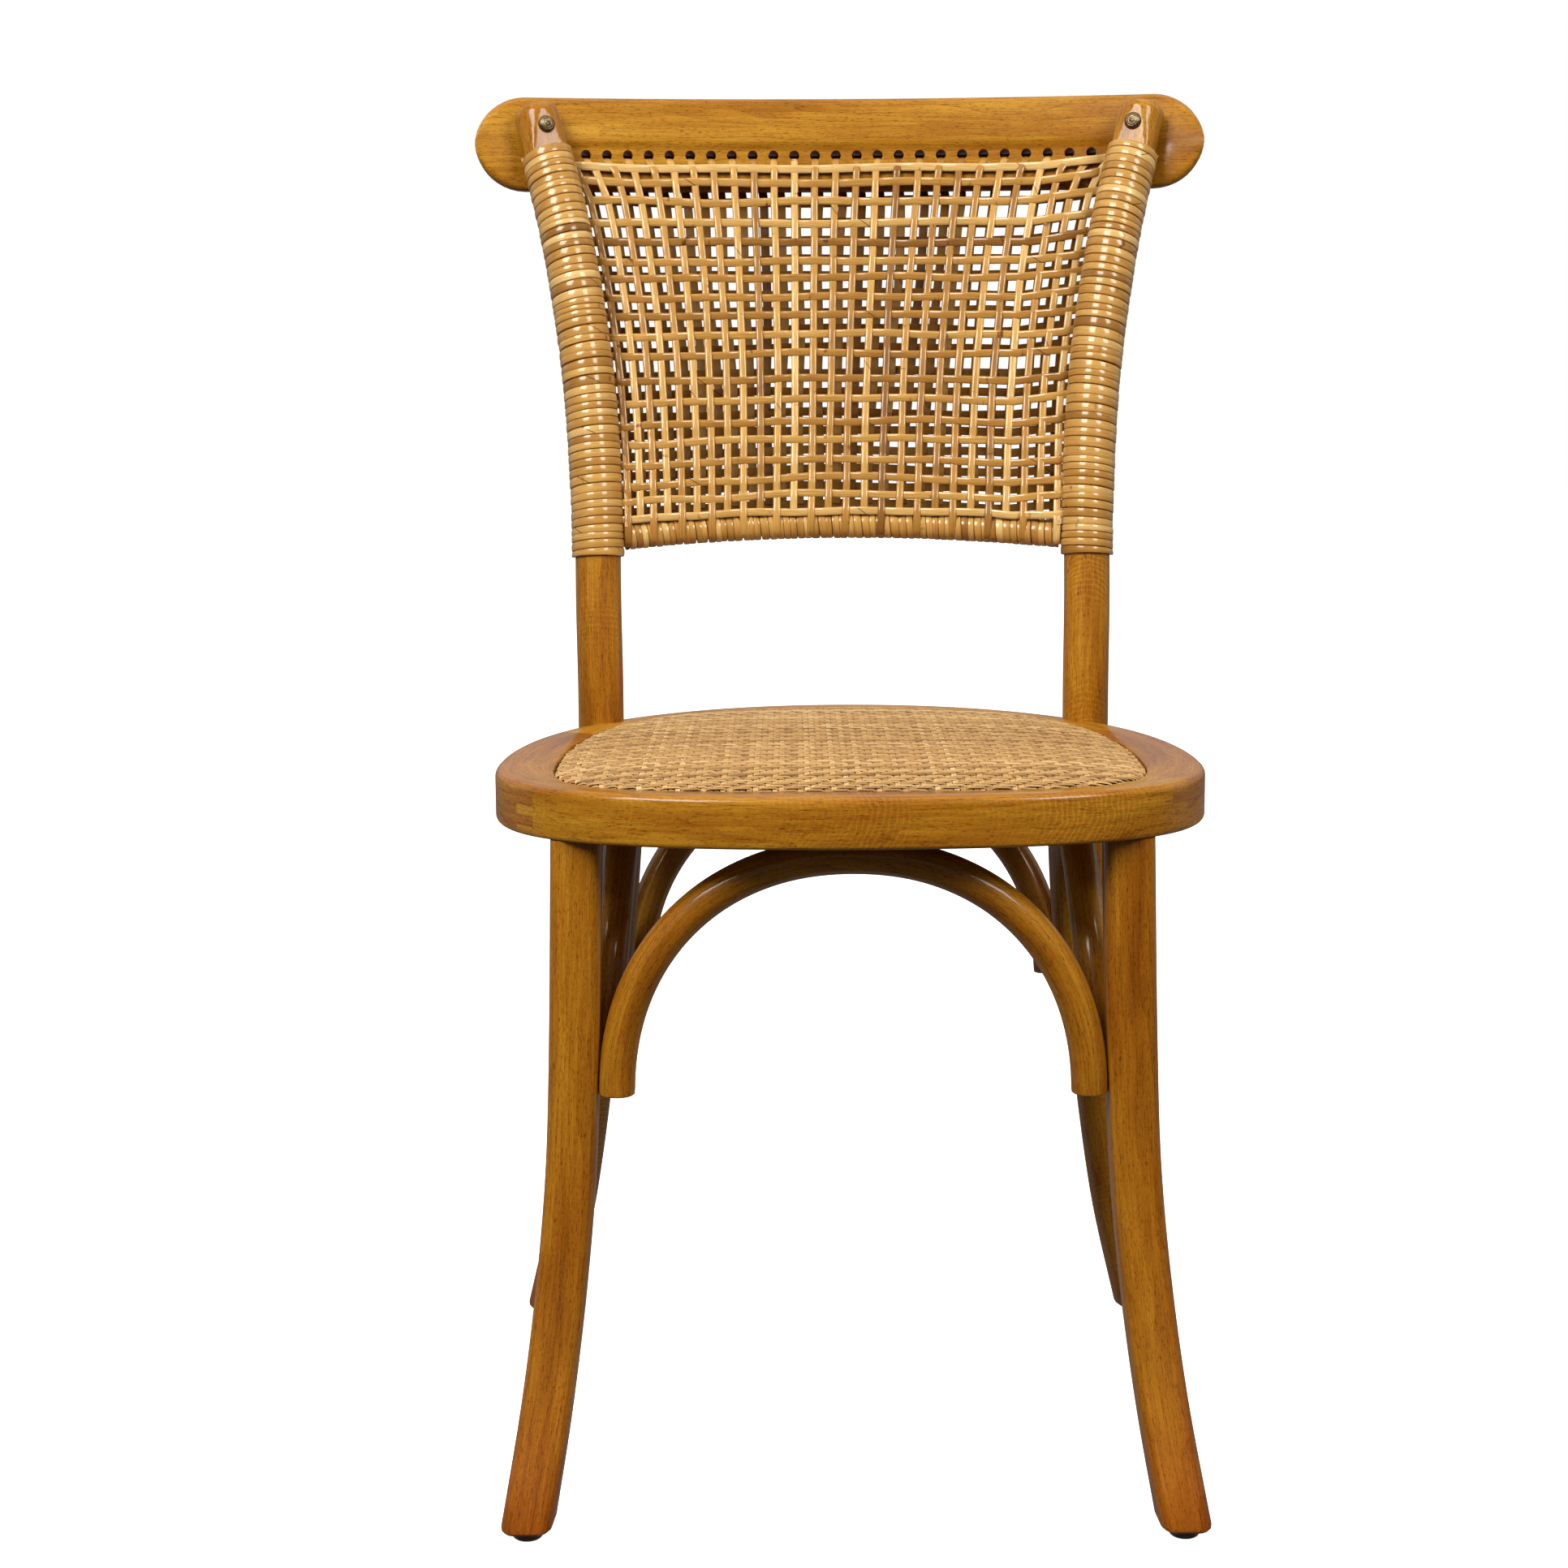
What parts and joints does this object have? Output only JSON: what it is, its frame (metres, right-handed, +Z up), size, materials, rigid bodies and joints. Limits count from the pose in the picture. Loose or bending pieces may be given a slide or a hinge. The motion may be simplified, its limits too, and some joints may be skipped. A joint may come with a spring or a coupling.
{
  "type": "chair",
  "caption": "Dining chair with a finger-jointed bentwood seat ring, arches under the seat, a woven cane seat panel and an open cane net back on wrapped posts",
  "frame": {"origin": "on the floor under the middle of the chair's bounding box, at the lowest face of the glides", "axes": "X to the right of someone who looks at the front of the chair, Y from the front of the seat to the back, Z up"},
  "size_m": [0.5288, 0.5232, 0.898],
  "materials": {
    "wood": "honey brown stained beech, semi-gloss varnish",
    "plywood": "bare plywood",
    "cane": "half-round cane with a satin skin",
    "seat_cane": "flat woven cane, matt",
    "antique_brass": "dull antique brass",
    "steel": "plain zinc plated steel",
    "brown_plastic": "dark brown moulded plastic"
  },
  "bodies": {
    "root": {"crest_rail": "wood", "left_rear_leg": "wood", "right_rear_leg": "wood", "left_front_leg": "wood", "right_front_leg": "wood", "seat_rail_front": "wood", "seat_rail_left": "wood", "seat_rail_right": "wood", "seat_rail_rear": "wood", "seat_board": "plywood", "seat_cane_panel": "seat_cane", "front_arch": "wood", "rear_arch": "wood", "left_arch": "wood", "right_arch": "wood", "back_bottom_rail": "wood", "left_post_winding": "cane", "right_post_winding": "cane", "bottom_rail_winding": "cane", "cane_net_front": "cane", "cane_net_rear": "cane", "glide_front_left": "brown_plastic", "glide_front_right": "brown_plastic", "glide_rear_left": "brown_plastic", "glide_rear_right": "brown_plastic", "crest_screw_left": "antique_brass", "crest_screw_right": "antique_brass", "arch_screw_front_left": "steel", "arch_screw_front_right": "steel", "arch_screw_rear_left": "steel", "arch_screw_rear_right": "steel", "arch_screw_left_front": "steel", "arch_screw_left_rear": "steel", "arch_screw_right_front": "steel", "arch_screw_right_rear": "steel", "crown_screw_front": "steel", "crown_screw_rear": "steel", "crown_screw_left": "steel", "crown_screw_right": "steel", "board_screw_front_left": "steel", "board_screw_front_right": "steel", "board_screw_rear_left": "steel", "board_screw_rear_right": "steel", "post_bolt_left": "steel", "post_bolt_right": "steel"}
  },
  "joints": []
}
